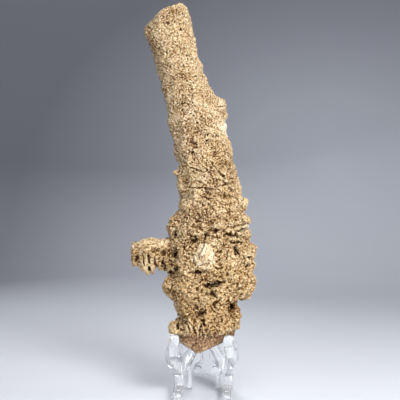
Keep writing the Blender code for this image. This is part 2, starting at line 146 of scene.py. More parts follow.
GAPS = (  # the same, for narrow clefts
    (10.8, 49.0, 0.7, 6.0, -21, 1.8),  # between the blades of the fan
    (6.5, 50.4, 0.7, 5.4, -8, 2.0),
    (2.4, 48.4, 0.6, 5.0, 9, 1.5),
    (-1.6, 49.6, 0.6, 4.6, 20, 1.7),
    (-9.9, 50.3, 0.9, 2.8, 0, 3.0),
    (9.4, 112.4, 0.9, 4.6, -8, 3.5),
    (-11.7, 115.2, 1.1, 3.2, -6, 3.5),
    (18.0, 69.0, 4.0, 1.1, 40, 2.5),
    (31.6, 121.3, 5.4, 0.8, 13, 3.0),  # between the ledges of the right shoulder
    (34.9, 117.9, 5.2, 0.8, 2, 4.5),
    (31.4, 109.4, 4.2, 0.9, 2, 3.5),
    (38.0, 98.2, 4.6, 0.9, 8, 3.0),
    (24.7, 101.4, 0.8, 3.0, 0, 2.5),
    (17.4, 92.7, 0.7, 3.4, 35, 2.5),
    (-34.4, 97.6, 0.9, 4.8, 12, 2.6),  # between the discs of the arm
    (-30.5, 98.6, 0.95, 4.2, 4, 3.6),
    (-30.2, 90.8, 1.1, 1.8, 0, 3.0),
    (-25.9, 93.8, 1.1, 5.6, 4, 3.2),
    (3.0, 160.6, 5.5, 0.9, -18, 1.4),  # under the ribs of the waist, and above them
    (20.0, 158.0, 0.9, 5.0, 40, 1.2),
    (16.0, 163.0, 0.9, 5.0, 42, 1.2),
    (12.5, 158.5, 0.8, 4.5, 42, 1.2),
    (10.0, 147.5, 10.0, 0.9, -4, 1.2),
    (24.0, 150.5, 6.0, 0.8, 10, 1.2),
    (20.4, 205.5, 4.0, 0.7, 10, 1.2),
)


def fuzz(points, size, shift=0.0):
    """Soft noise of this size in millimetres, from -1 to 1 at each point."""
    return np.array([noise.noise(Vector(p)) for p in points / (size * MM) + shift])


def flow(points, size):
    """Soft noise of this size in each of the three directions."""
    return np.stack([fuzz(points, size, shift) for shift in (0.0, 31.7, 57.3)], axis=1)


def wandering(points, size, reach):
    """The points moved about by soft noise of this size and reach, in millimetres, for an uneven edge."""
    return points + reach * MM * flow(points, size)


def hollowed(points, hollows, reach):
    """How deep in one of these hollows each point lies, from 0 to 1, and how far it is pressed in."""
    share = np.zeros(len(points))
    press = np.zeros(len(points))
    points = wandering(points, 2.6, reach)
    for x, z, wide, tall, lean, deep in hollows:
        c, s = math.cos(math.radians(lean)), math.sin(math.radians(lean))
        u, v = points[:, 0] - x * MM, points[:, 2] - z * MM
        far = ((c * u + s * v) / (wide * MM)) ** 2 + ((c * v - s * u) / (tall * MM)) ** 2
        here = np.clip(1.25 - far, 0, 1) * (np.abs(points[:, 1] - front_of(outside, x, z).y) < 9 * MM)
        share = np.maximum(share, here * min(1.0, deep / 3))
        press = np.maximum(press, here**0.7 * deep * MM)
    return share, press


def sunken(points):
    """How deep in any hollow or gap each point lies, from 0 to 1."""
    return np.maximum(hollowed(points, HOLLOWS, HOLLOW_EDGE)[0], hollowed(points, GAPS, GAP_EDGE)[0])


points, normals = spots_of(body)
points[:, 1] += 0.5 * hollowed(points, HOLLOWS, HOLLOW_EDGE)[1]
put_back(body, points)

SMOOTH = (  # centre and half sizes of each part without blades, how smooth and how pale it is
    ((-29.0, -15.0, 110.0), (15.0, 12.0, 7.0), 0.45, 0.2),  # the cap of the arm
    ((9.4, -31.5, 100.5), (7.5, 8.0, 9.0), 0.8, 0.4),  # one big clean crystal in the middle
    ((26.0, -2.0, 190.5), (7.0, 14.0, 5.6), 0.6, 1.0),  # a bruise on the right
    ((39.0, -8.0, 102.5), (4.6, 9.0, 6.4), 0.6, 0.2),  # two broad discs of the right shoulder
    ((36.8, -8.0, 119.6), (4.6, 8.0, 2.0), 0.6, 0.2),
)
PAINTED_SHADE_PATCHES = (  # centre and half sizes of each patch painted darker and browner as shade: the left facets that face away from the light, and broad patches of dense pits
    ((-34.0, 4.0, 249.0), (7.5, 14.0, 16.0)),
    ((-18.0, -7.0, 267.0), (4.0, 8.0, 3.6)),
    ((-24.0, 0.0, 213.0), (6.0, 12.0, 12.0)),
    ((18.0, -18.0, 115.5), (9.0, 14.0, 5.5)),
    ((29.0, -14.0, 62.0), (5.0, 12.0, 9.0)),
)
BASE_TOP = 46.5 * MM  # how high the smooth break under the stone reaches
COMBED = (  # centre and half sizes of where long blades stand side by side with little between them
    ((6.0, -29.0, 48.0), (13.0, 9.0, 8.5)),
    ((-31.0, -12.0, 94.5), (12.0, 12.0, 8.0)),
    ((31.0, -10.0, 117.0), (9.0, 10.0, 8.0)),
)


def smooth_share(points):
    """How smooth and how pale each point is, from 0 to 1."""
    smooth, pale = np.zeros(len(points)), np.zeros(len(points))
    points = wandering(points, 4.0, 3.0)
    for centre, half, flat, white in SMOOTH:
        far = (((points - np.array(centre) * MM) / (np.array(half) * MM)) ** 2).sum(axis=1)
        here = np.clip(2.0 * (1.2 - far), 0, 1)
        smooth = np.maximum(smooth, here * flat)
        pale = np.maximum(pale, here * white)
    return smooth, pale


def within(points, zones):
    """How much each point belongs to one of these zones, from 0 to 1."""
    share = np.zeros(len(points))
    for centre, half in zones:
        far = (((points - np.array(centre) * MM) / (np.array(half) * MM)) ** 2).sum(axis=1)
        share = np.maximum(share, np.clip(2.0 * (1.2 - far), 0, 1))
    return share


def broken_foot(points):
    """How much each point belongs to the smooth, pinkish break under the stone."""
    top = BASE_TOP + 0.10 * (points[:, 0] - 6 * MM) - 3 * MM * (points[:, 1] > -8 * MM)
    return np.clip((top + fuzz(points, 5) * 4 * MM - points[:, 2]) / (3 * MM), 0, 1)


def scatter(obj, count):
    """Random places on its skin, even by area, each with the normal there and one point that is near."""
    obj.data.calc_loop_triangles()
    corners = np.empty(len(obj.data.loop_triangles) * 3, np.int32)
    obj.data.loop_triangles.foreach_get("vertices", corners)
    points, normals = spots_of(obj)
    corners = corners.reshape(-1, 3)
    a, b, c = (points[corners[:, i]] for i in range(3))
    area = np.linalg.norm(np.cross(b - a, c - a), axis=1)
    chosen = draw.choice(len(area), count, p=area / area.sum())
    u, v = draw.random(count), draw.random(count)
    over = u + v > 1
    u[over], v[over] = 1 - u[over], 1 - v[over]
    share = np.stack([1 - u - v, u, v], axis=1)[:, :, None]
    place = (share * points[corners[chosen]]).sum(axis=1)
    facing = (share * normals[corners[chosen]]).sum(axis=1)
    return place, facing / np.linalg.norm(facing, axis=1)[:, None], corners[chosen, 0]


def spread_out(place, gap):
    """Which of these places to keep so that few are closer than the gap."""
    _, first = np.unique(np.floor(place / gap).astype(int), axis=0, return_index=True)
    return np.sort(first)


def joined(name, shape, place, turns, sizes):
    """Many copies of one small closed shape as a single mesh. Returns it and the copy of each point."""
    points, faces = shape
    count, each = len(place), len(points)
    moved = np.einsum("nij,npj->npi", turns, points[None] * sizes[:, None]) + place[:, None]
    faces = (faces[None] + (np.arange(count) * each)[:, None, None]).reshape(-1, faces.shape[1])
    mesh = bpy.data.meshes.new(name)
    mesh.vertices.add(count * each)
    mesh.vertices.foreach_set("co", moved.reshape(-1))
    mesh.loops.add(faces.size)
    mesh.loops.foreach_set("vertex_index", faces.reshape(-1))
    mesh.polygons.add(len(faces))
    mesh.polygons.foreach_set("loop_start", np.arange(0, faces.size, faces.shape[1]))
    mesh.update(calc_edges=True)
    mesh.validate()
    obj = bpy.data.objects.new(name, mesh)
    bpy.context.collection.objects.link(obj)
    return obj, np.repeat(np.arange(count), each)


def shape_of(obj):
    """The points and faces of a small shape, as arrays, and the shape is taken away."""
    points = np.array([v.co for v in obj.data.vertices])
    faces = np.array([list(p.vertices) for p in obj.data.polygons])
    bpy.data.objects.remove(obj)
    return points, faces


def frames(out, along):
    """Turns whose Z is the way out of the skin and whose X runs along it."""
    out = out / np.linalg.norm(out, axis=1)[:, None]
    x = along - (along * out).sum(axis=1)[:, None] * out
    x /= np.linalg.norm(x, axis=1)[:, None]
    return np.stack([x, np.cross(out, x), out], axis=2)


def swing(place, scale, spread):
    """The way each blade runs: neighbours run nearly the same way, as the crystals grew in sprays."""
    way = flow(place, scale)
    way /= np.linalg.norm(way, axis=1)[:, None] + 1e-9
    return way + spread * draw.normal(size=(len(place), 3))


def lowness(place):
    """0 on the upper shaft, where the blades are fine, to 1 on the coarse lower part."""
    return np.clip((168 * MM - place[:, 2]) / (50 * MM), 0, 1)


# The blades all over it are thin discs that stand on edge, half sunk in the stone. They are longer and
# thicker low down, where the stone is coarse. Their half sizes are in millimetres.
TRIED_BLADES = 22000
BLADE_GAP = 2.3 * MM
bpy.ops.mesh.primitive_uv_sphere_add(segments=12, ring_count=8, radius=1.0)
blade = bpy.context.active_object
pick(blade)
bpy.ops.object.mode_set(mode="EDIT")
bpy.ops.mesh.select_all(action="SELECT")
bpy.ops.mesh.quads_convert_to_tris()
bpy.ops.object.mode_set(mode="OBJECT")
blade_shape = shape_of(blade)

inside = tree_of(body)
place, out, _ = scatter(body, TRIED_BLADES)
bare = (smooth_share(place)[0] > 0.3) | (broken_foot(place) > 0.4) | (sunken(place) > 0.35)
place, out = place[~bare], out[~bare]
keep = spread_out(place, BLADE_GAP)
place, out = place[keep], out[keep]
low = lowness(place)
long = (1.5 + 0.8 * low) * draw.uniform(0.65, 1.35, len(place)) * MM
high = long * draw.uniform(0.75, 1.0, len(place))
thick = (0.66 + 0.42 * low) * draw.uniform(0.7, 1.3, len(place)) * MM
proud = (0.55 + 0.75 * low) * draw.uniform(0.4, 1.3, len(place)) * MM
turns = frames(out, swing(place, 12, 0.35))
sunk = place + out * (proud - high)[:, None]
crust, _ = joined("crust", blade_shape, sunk, turns, np.stack([long, thick, high], axis=1))

# The large blades and crystals of the front, each in its own place.
FRONT_BLADES = (  # X and Z on the front, half length, half thickness, lean, how far it stands out
    (13.0, 49.4, 7.0, 1.5, -26, 2.2),  # the fan over the foot
    (8.6, 50.0, 7.4, 1.45, -12, 2.6),
    (4.4, 49.4, 7.0, 1.4, 2, 2.2),
    (0.4, 49.0, 6.6, 1.3, 12, 2.0),
    (-3.6, 48.5, 6.0, 1.2, 22, 1.7),
    (17.4, 51.0, 5.6, 1.3, -38, 1.6),
    (-39.9, 93.6, 3.2, 1.9, 96, 1.2),  # the discs of the arm, and the lip of its cap
    (-36.4, 96.0, 5.8, 1.15, 12, 1.8),
    (-32.4, 95.6, 6.4, 1.05, 8, 1.6),
    (-28.3, 94.6, 7.4, 1.25, 2, 2.0),
    (-23.4, 94.0, 6.4, 1.35, 2, 1.8),
    (-17.2, 91.6, 5.4, 1.2, 4, 1.6),
    (-31.0, 104.4, 9.5, 1.5, 94, 2.0),
    (12.0, 168.5, 9.0, 0.8, 50, 0.9),  # the long slanting ribs of the waist
    (18.0, 160.8, 7.0, 0.9, 42, 0.9),
    (14.2, 160.8, 7.0, 0.8, 42, 0.9),
    (0.5, 180.6, 9.0, 0.9, 52, 1.0),
    (8.0, 149.5, 9.0, 0.9, 86, 0.9),
    (24.0, 152.5, 6.0, 0.8, 80, 0.9),
    (34.8, 119.8, 4.6, 1.3, 84, 2.6),  # the ledges of the right shoulder
    (27.5, 118.8, 4.4, 1.0, 96, 1.6),
    (33.4, 111.9, 4.6, 1.5, 88, 2.4),
    (38.4, 103.4, 7.0, 2.4, 40, 1.8),
    (24.0, 123.6, 7.0, 1.3, 84, 1.8),
    (0.0, 70.0, 6.0, 1.1, -35, 1.2),  # long single blades of the lower front
    (-6.0, 78.0, 6.0, 1.1, -42, 1.2),
    (3.0, 84.0, 6.0, 1.2, 60, 1.2),
    (20.0, 90.0, 6.0, 1.2, -50, 1.4),
    (24.0, 75.0, 6.0, 1.2, -20, 1.4),
    (8.0, 94.2, 6.0, 1.3, 80, 1.8),
)
lean = []
spots = []
sizes = []
for x, z, length, thickness, tilt, stand in FRONT_BLADES:
    spots.append(front_of(inside, x, z) + Vector((0, (length - stand) * MM, 0)))
    lean.append(np.array(Matrix.Rotation(math.radians(tilt), 3, "Y")))
    sizes.append((thickness * MM, length * MM, length * MM))
CRYSTAL_DEPTH = 4.0
SHARP_CRYSTALS = (  # X and Z on the front, half width, half height, lean, twist, how far it stands out
    (10.8, 103.4, 4.4, 4.6, 28, 20, 1.5),
    (8.0, 100.0, 4.2, 4.8, -20, -18, 1.3),
    (12.6, 99.4, 4.0, 3.8, 52, 24, 1.2),
    (5.6, 97.4, 3.0, 4.2, -40, -30, 1.0),
    (14.6, 96.6, 2.6, 4.0, 40, 30, 0.8),
    (10.0, 94.4, 4.6, 2.2, 12, 6, 1.1),
    (8.6, 105.8, 2.6, 2.6, 10, -20, 0.8),
)
for x, z, wide, tall, tilt, twist, stand in SHARP_CRYSTALS:
    spot = front_of(inside, x, z) + Vector((0, (CRYSTAL_DEPTH - stand) * MM, 0))
    bpy.ops.mesh.primitive_cube_add(size=2 * MM, location=spot)
    crystal = bpy.context.active_object
    crystal.scale = (wide, CRYSTAL_DEPTH, tall)
    crystal.rotation_euler = (math.radians(-12), math.radians(tilt), math.radians(twist))
    bpy.ops.object.transform_apply(location=True, rotation=True, scale=True)
    crust.select_set(True)
    bpy.context.view_layer.objects.active = crust
    bpy.ops.object.join()
front_blades, _ = joined("front_blades", blade_shape, np.array(spots), np.array(lean), np.array(sizes))
pick(body)
crust.select_set(True)
front_blades.select_set(True)
bpy.ops.object.join()
fuse(body, BODY_SKIN)

# The relief of the fused skin. Its flakes come in three widths, in millimetres, and each patch of the
# stone has its flakes drawn out along one of four ways.
FLAKE_WIDTHS = (4.8, 2.7, 1.5)
PIT_GAP = 3.3
LEDGE_GAP = 6.4
RUNS = np.array(((0.1, 0.2, 1.0), (0.75, 0.3, 0.6), (-0.7, 0.35, 0.6), (0.9, 0.3, -0.1)))
RUNS /= np.linalg.norm(RUNS, axis=1)[:, None]


def cells(points, size):
    """Seeds lie about this far apart: how far the nearest is, how far the next, and where the nearest is."""
    found = [noise.voronoi(Vector(p)) for p in points / (size * MM)]
    far = np.array([(near, after) for (near, after, _, _), _ in found])
    return far[:, 0], far[:, 1], np.array([seeds[0] for _, seeds in found])


def flakes(points, size, runs):
    """Flakes of this width that lean on one another: 0 in their seams, up to 1 at their raised edges."""
    q = wandering(points, 1.5 * size, 0.3 * size)
    q = q - 0.55 * (q * runs).sum(axis=1)[:, None] * runs
    near, after, home = cells(q, size)
    lean = np.sin(home * (91.7, 47.3, 73.9))
    lean /= np.linalg.norm(lean, axis=1)[:, None]
    tilt = ((q / (size * MM) - home) * lean).sum(axis=1)
    return np.clip((after - near) / 0.35, 0, 1) ** 0.7 * (0.6 + 0.8 * tilt)


def ledges(points):
    """The overhanging ledges round the right of the waist: 1 at each lip, down to 0 above it."""
    x, z = points[:, 0] / MM, points[:, 2] / MM
    rung = (z + 0.40 * x + 4.0 * fuzz(points, 10)) / LEDGE_GAP
    zone = np.clip(1.3 - ((z - 148) / 15) ** 2 - ((x - 14) / 20) ** 2, 0, 1) * (points[:, 1] < 4 * MM)
    return (1 - (rung - np.floor(rung))) * zone, zone


points, normals = spots_of(body)
low = lowness(points)
foot = broken_foot(points)
calm = 1 - np.maximum(np.maximum(0.75 * smooth_share(points)[0], 0.8 * foot), 0.5 * within(points, COMBED))
runs = RUNS[np.argmax([fuzz(points, 12, 10.0 * number) for number in range(len(RUNS))], axis=0)]
broad, middle, fine = (flakes(points, width, runs) for width in FLAKE_WIDTHS)
pitted = np.clip(0.45 + 1.3 * fuzz(points, 10, 5.0), 0, 1)
pit = np.clip((0.19 + 0.15 * pitted - cells(wandering(points, 2.0, 0.8), PIT_GAP)[0]) / 0.08, 0, 1)
lip, zone = ledges(points)
relief = (broad - 0.5) * 1.1 * low * (1 - 0.5 * zone)
relief = relief + (middle - 0.5) * (0.55 + 0.45 * low) + (fine - 0.5) * 0.42
relief += fuzz(points, 13, 7.0) * (1.3 + 0.3 * low) + (lip - 0.5 * zone) * 1.1 - pit * 1.5
relief = relief * calm + 0.35 * foot * fuzz(points, 1.7)
points += normals * (relief * MM - hollowed(points, GAPS, GAP_EDGE)[1])[:, None]
points[:, 1] += 0.8 * hollowed(points, HOLLOWS, HOLLOW_EDGE)[1]
put_back(body, points)


def eased(obj, rounds):
    """Its points once they have been drawn towards their neighbours this many times."""
    points, _ = spots_of(obj)
    ends = np.empty(len(obj.data.edges) * 2, np.int32)
    obj.data.edges.foreach_get("vertices", ends)
    one, other = ends.reshape(-1, 2).T
    count = np.bincount(ends, minlength=len(points))
    for _ in range(rounds):
        for axis in range(3):
            p = points[:, axis]
            total = np.bincount(one, p[other], len(p)) + np.bincount(other, p[one], len(p))
            points[:, axis] = 0.4 * p + 0.6 * total / count
    return points


def paint(obj, points, tone_and_shade):
    """Stores what the stone's finish reads at each point: its tone from how far it stands out, with painted
    shade in its seams, pits, hollows and shaded patches, how pale it is and how pink.
    """
    pink = broken_foot(points)
    # Patches on the left facets that face away from the light, and broad patches of dense pits, are painted
    # darker and browner as shade.
    tone_and_shade = tone_and_shade - 0.16 * within(wandering(points, 5.0, 2.5), PAINTED_SHADE_PATCHES)
    pale = np.maximum(smooth_share(points)[1], 1.6 * pink * (1 - pink))
    for name, value in (("tone_and_shade", tone_and_shade), ("pale", pale), ("pink", pink)):
        obj.data.attributes.new(name, "FLOAT", "POINT").data.foreach_set("value", value.astype(np.float32))


# Rubbed tips are light and seams are dark, partly from the brown stain the seams keep and partly as painted
# shade where seams and pits fall into shadow, so the colour reads how far each point stands out of what is
# close to it, and a little how far it stands out of what is some millimetres away.
_, normals = spots_of(body)
near = ((points - eased(body, 8)) * normals).sum(axis=1)
wide = ((points - eased(body, 90)) * normals).sum(axis=1)
deep = sunken(points)
# Pitted patches, and points in hollows and gaps, are painted darker still: painted shade where they fall into
# shadow.
tone_and_shade = 0.575 + 0.03 * low + near / (0.9 * MM) + np.clip(wide / (4.0 * MM), -0.25, 0.15) - 0.10 * pitted
tone_and_shade = np.clip(tone_and_shade, 0.0, 1.0) * (1 - 0.35 * deep)
paint(body, points, tone_and_shade)


def to_linear(code):
    """An sRGB hex colour as the linear colour that a shader takes."""
    parts = [int(code[i : i + 2], 16) / 255 for i in (0, 2, 4)]
    return (*[c / 12.92 if c <= 0.04045 else ((c + 0.055) / 1.055) ** 2.4 for c in parts], 1.0)


def node(tree, kind, settings=None, inputs=None):
    """Adds a node with these settings. An input is given a value, or an output socket to link."""
    made = tree.nodes.new(kind)
    for name, value in (settings or {}).items():
        setattr(made, name, value)
    for name, value in (inputs or {}).items():
        if isinstance(value, bpy.types.NodeSocket):
            tree.links.new(value, made.inputs[name])
        else:
            made.inputs[name].default_value = value
    return made


def stops(ramp, *pairs):
    """Sets the colours along a ramp, as (place, hex colour)."""
    spots = ramp.color_ramp.elements
    while len(spots) < len(pairs):
        spots.new(0.5)
    for spot, (where, colour) in zip(spots, pairs):
        spot.position = where
        spot.color = to_linear(colour)


# Gypsum that holds about as much desert sand, as it grew: matt and gritty. Raised points are rubbed paler and
# the seams between them keep brown iron stain, and the seams, pits and hollows also carry painted shade, so
# the colour follows how far a point stands out. The lower part is warmer, bruises are chalky and the break
# underneath is pinkish.
SPECKLE = 820.0  # single grains are about 0.4 mm, and are drawn 1.2 mm apart, as finer ones wouldn't show
GRIT = 1300.0  # the same grains as bump, 0.8 mm apart
CLOUD = 70.0  # areas of warmer and greyer sand, 14 mm across
PATCH = 45.0  # lighter and darker areas, 22 mm across
sandy = bpy.data.materials.new("sand_filled_gypsum")
sandy.use_nodes = True
tree = sandy.node_tree
shader = tree.nodes["Principled BSDF"]
shader.inputs["Roughness"].default_value = 0.88
shader.inputs["IOR"].default_value = 1.52
shader.inputs["Specular IOR Level"].default_value = 0.2
where = node(tree, "ShaderNodeTexCoord").outputs["Object"]
read = {}
for name in ("tone_and_shade", "pale", "pink"):
    read[name] = node(tree, "ShaderNodeAttribute", {"attribute_name": name}).outputs["Fac"]
speckle = node(tree, "ShaderNodeTexNoise", inputs={
    "Vector": where, "Scale": SPECKLE, "Detail": 2.0, "Roughness": 0.7}).outputs["Fac"]
cloud = node(tree, "ShaderNodeTexNoise", inputs={
    "Vector": where, "Scale": CLOUD, "Detail": 2.0}).outputs["Fac"]
upward = node(tree, "ShaderNodeSeparateXYZ", inputs={"Vector": where}).outputs["Z"]
lower = node(tree, "ShaderNodeMapRange", inputs={
    "Value": upward, "From Min": 0.20, "From Max": 0.08, "To Min": -0.45, "To Max": 0.35}).outputs["Result"]
cloud = node(tree, "ShaderNodeMath", {"operation": "ADD", "use_clamp": True}, {0: cloud, 1: lower}).outputs[0]
shift = node(tree, "ShaderNodeMath", {"operation": "MULTIPLY_ADD"}, {0: speckle, 1: 1.6, 2: -0.8}).outputs[0]
patch = node(tree, "ShaderNodeTexNoise", inputs={
    "Vector": where, "Scale": PATCH, "Detail": 1.0}).outputs["Fac"]
patch = node(tree, "ShaderNodeMath", {"operation": "MULTIPLY_ADD"}, {0: patch, 1: 0.5, 2: -0.25}).outputs[0]
shift = node(tree, "ShaderNodeMath", {"operation": "ADD"}, {0: shift, 1: patch}).outputs[0]
level = node(tree, "ShaderNodeMath", {"operation": "ADD"}, {0: read["tone_and_shade"], 1: shift}).outputs[0]
sands = []
for colours in (
    ((0.05, "40240b"), (0.28, "735536"), (0.50, "a08764"), (0.72, "b9a481"), (0.95, "c6b89d")),  # tan
    ((0.05, "3b2007"), (0.28, "6b4820"), (0.50, "997648"), (0.72, "b29467"), (0.95, "c1ab84")),  # warm
    ((0.1, "75634a"), (0.5, "b5a486"), (0.9, "dcd2be")),  # chalky
    ((0.1, "331d0f"), (0.38, "563c28"), (0.55, "6b503a"), (0.72, "82664b"), (0.95, "a58c6d")),  # pinkish
):
    ramp = node(tree, "ShaderNodeValToRGB", inputs={"Fac": level})
    stops(ramp, *colours)
    sands.append(ramp.outputs["Color"])
colour = sands[0]
for share, sand in zip((cloud, read["pale"], read["pink"]), sands[1:]):
    mix = node(tree, "ShaderNodeMix", {"data_type": "RGBA"}, {"Factor": share, "A": colour, "B": sand})
    colour = mix.outputs["Result"]
tree.links.new(colour, shader.inputs["Base Color"])
grit = node(tree, "ShaderNodeTexVoronoi", {"feature": "F1"}, {
    "Vector": where, "Scale": GRIT}).outputs["Distance"]
bump = node(tree, "ShaderNodeBump", inputs={"Strength": 0.5, "Distance": 0.0004, "Height": grit})
tree.links.new(bump.outputs["Normal"], shader.inputs["Normal"])
body.data.materials.clear()
body.data.materials.append(sandy)


def slab_of(obj, name, bottom, top):
    """The part of a closed mesh between two heights, closed at both."""
    part = bpy.data.objects.new(name, obj.data.copy())
    bpy.context.collection.objects.link(part)
    pick(part)
    bpy.ops.object.mode_set(mode="EDIT")
    for height, side in ((bottom, -1), (top, 1)):
        bpy.ops.mesh.select_all(action="SELECT")
        bpy.ops.mesh.bisect(
            plane_co=(0, 0, height), plane_no=(0, 0, side), clear_outer=True, use_fill=True)
    bpy.ops.mesh.select_all(action="SELECT")
    bpy.ops.mesh.quads_convert_to_tris()
    bpy.ops.object.mode_set(mode="OBJECT")
    return part


for number, (bottom, top) in enumerate(zip(SLAB_EDGES, SLAB_EDGES[1:]), 1):
    part = slab_of(body, f"rose_body_{number}", bottom, top)
    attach(part, "root")
    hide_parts("desert_rose")


# The small crystals that stand on the crests between the larger blades: stubby plates of gypsum about a
# millimetre long, each coated with sand, darker at the root than at the tip as painted shade where the root
# meets the stone.
CRYSTALS = 11000
CRYSTAL_GAP = 1.0 * MM
TRIED_FOR_EACH = 5

bpy.ops.mesh.primitive_cube_add(size=1.6)
chip_shape = shape_of(bpy.context.active_object)
place, out, near = scatter(body, CRYSTALS * TRIED_FOR_EACH)
heights = np.empty(len(body.data.vertices), np.float32)
body.data.attributes["tone_and_shade"].data.foreach_get("value", heights)
bare = (smooth_share(place)[0] > 0.3) | (broken_foot(place) > 0.4) | (sunken(place) > 0.3)
bare |= (heights[near] < 0.50) | (within(place, COMBED) > 0.3)
place, out = place[~bare], out[~bare]
keep = draw.permutation(spread_out(place, CRYSTAL_GAP))[:CRYSTALS]
place, out = place[keep], out[keep]
low = lowness(place)
long = (0.50 + 0.20 * low) * draw.uniform(0.5, 1.5, len(place)) * MM
high = long * draw.uniform(0.6, 1.0, len(place))
thick = (0.26 + 0.12 * low) * draw.uniform(0.7, 1.4, len(place)) * MM
proud = (0.52 + 0.34 * low) * draw.uniform(0.3, 1.4, len(place)) * MM
turns = frames(out + 0.3 * draw.normal(size=out.shape), swing(place, 9, 0.4))
out = turns[:, :, 2]
sizes = np.stack([long, thick, high], axis=1)
for number, chosen in enumerate(np.array_split(np.arange(len(place)), 2), 1):
    sunk = place[chosen] + out[chosen] * (proud - high)[chosen][:, None]
    crystals, whose = joined(f"rose_crystals_{number}", chip_shape, sunk, turns[chosen], sizes[chosen])
    points, _ = spots_of(crystals)
    points += 0.10 * MM * draw.normal(size=points.shape)
    put_back(crystals, points)
    above = ((points - place[chosen][whose]) * out[chosen][whose]).sum(axis=1)
    tone = draw.uniform(-0.16, 0.16, len(chosen))[whose]
    # Each crystal is painted darker towards its root, as shade where it meets the stone, with a random tone
    # on top.
    paint(crystals, points, np.clip(0.42 + above / (0.8 * MM) * 0.3 + tone, 0, 1))
    crystals.data.materials.append(sandy)
    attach(crystals, "root")


# The desert sand that cemented itself to the outside as the stone grew: rounded quartz grains and clumps
# of them, half a millimetre to a millimetre across, some pale and some stained brown.
GRAINS = 26000

bpy.ops.mesh.primitive_ico_sphere_add(subdivisions=1, radius=1.0)
grain_shape = shape_of(bpy.context.active_object)
place, out, _ = scatter(body, GRAINS)
for number, chosen in enumerate(np.array_split(np.arange(len(place)), 4), 1):
    size = draw.uniform(0.20, 0.44, len(chosen)) * MM
    sizes = size[:, None] * draw.uniform(0.7, 1.3, (len(chosen), 3))
    turns = frames(out[chosen], draw.normal(size=(len(chosen), 3)))
    spots = place[chosen] + out[chosen] * (0.3 * size)[:, None]
    grains, whose = joined(f"rose_sand_{number}", grain_shape, spots, turns, sizes)
    # Grains in hollows and gaps are painted darker, as shade where the hollows fall into shadow; the rest of
    # their tone is random.
    deep = sunken(place[chosen])
    tone = np.clip(draw.normal(0.58, 0.24, len(chosen)) * (1 - 0.7 * deep), 0, 1)[whose]
    paint(grains, spots_of(grains)[0], tone)
    grains.data.materials.append(sandy)
    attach(grains, "root")
bpy.data.objects.remove(body)


# The easel's frame: clear polystyrene, moulded in one piece. Two side brackets, each with a foot, a
# stout leg and an arm that ends in an upturned knob, are joined by a thin wishbone with a raised rim.
FRAME_SKIN = 0.45 * MM
FRAME_EASING = 5
low_corner, high_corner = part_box("easel_frame")
MIDDLE = (low_corner.x + high_corner.x) / 2 / MM
BACKWARD = -3.36  # the Y, in millimetres, that the sizes below start from
WISHBONE_LEAN = 12  # degrees back from upright
WISHBONE_FOOT = 1.2  # the Y where it meets the floor
SPLAY = 5.0  # degrees that each bracket leans outwards
SPLAY_HEIGHT = 36  # the height that it leans about
ARM_AND_FOOT = (  # the outline of a bracket: Y, Z
    (-25.0, 36.0), (5.5, 36.4), (8.4, 32.0), (7.6, 24.0), (3.4, 8.0), (3.0, -0.2), (-28.2, -0.2),
    (-28.6, 3.0), (-26.0, 4.4), (-10.0, 5.8), (-6.4, 9.0), (-2.8, 19.0), (-4.8, 25.0), (-12.0, 27.4),
    (-25.0, 29.0),
)
HALF_WISHBONE = (  # X, height along its slope, from the top down
    (-5.6, 70.0), (-6.2, 50.0), (-8.8, 36.0), (-12.4, 28.0), (-16.6, 22.0), (-19.5, 17.5), (-18.5, 9.5),
    (-13.5, 8.6), (-12.6, 12.4), (-6.5, 26.0), (-2.2, 37.0), (0.0, 39.5),
)
SHOULDER = (  # stations from the bottom up: X out from the middle, Y, Z, half width, half depth
    (18.8, -8.0, 13.0, 3.8, 5.0), (20.4, -12.0, 19.0, 3.9, 8.0), (21.8, -17.5, 25.0, 4.3, 10.0),
    (22.0, -20.0, 30.0, 4.4, 9.6), (21.2, -22.5, 34.0, 4.2, 8.0), (20.2, -24.5, 37.6, 4.0, 6.4),
)
KNOB = (
    (19.8, -27.2, 31.0, 4.2, 4.0), (19.4, -27.4, 36.0, 3.9, 3.6), (19.3, -27.6, 41.0, 4.6, 3.8),
    (19.3, -27.6, 46.6, 4.4, 3.6),
)
LEG = (
    (17.2, -1.0, 0.5, 4.6, 5.0), (17.2, -0.4, 7.0, 4.0, 4.2), (18.2, 0.6, 14.0, 3.9, 4.8),
    (19.8, 1.4, 20.0, 4.2, 5.4), (21.4, 1.4, 27.0, 4.6, 6.6), (21.0, 0.6, 36.6, 4.2, 7.0),
)
POST = (
    (10.6, 0.6, 0.5, 2.4, 3.0), (10.4, 1.4, 4.0, 1.7, 2.2), (10.8, 3.2, 13.0, 1.6, 2.0),
    (12.0, 4.6, 19.0, 1.6, 1.8),
)
INNER_RIM = ((1.2, 38.6), (2.4, 36.0), (6.6, 25.6), (12.8, 12.6))  # X, height along the slope
OUTER_RIM = ((5.2, 68.0), (5.8, 50.0), (8.2, 36.6), (12.0, 28.6), (16.4, 22.4))
RIM_PROUD = 0.2


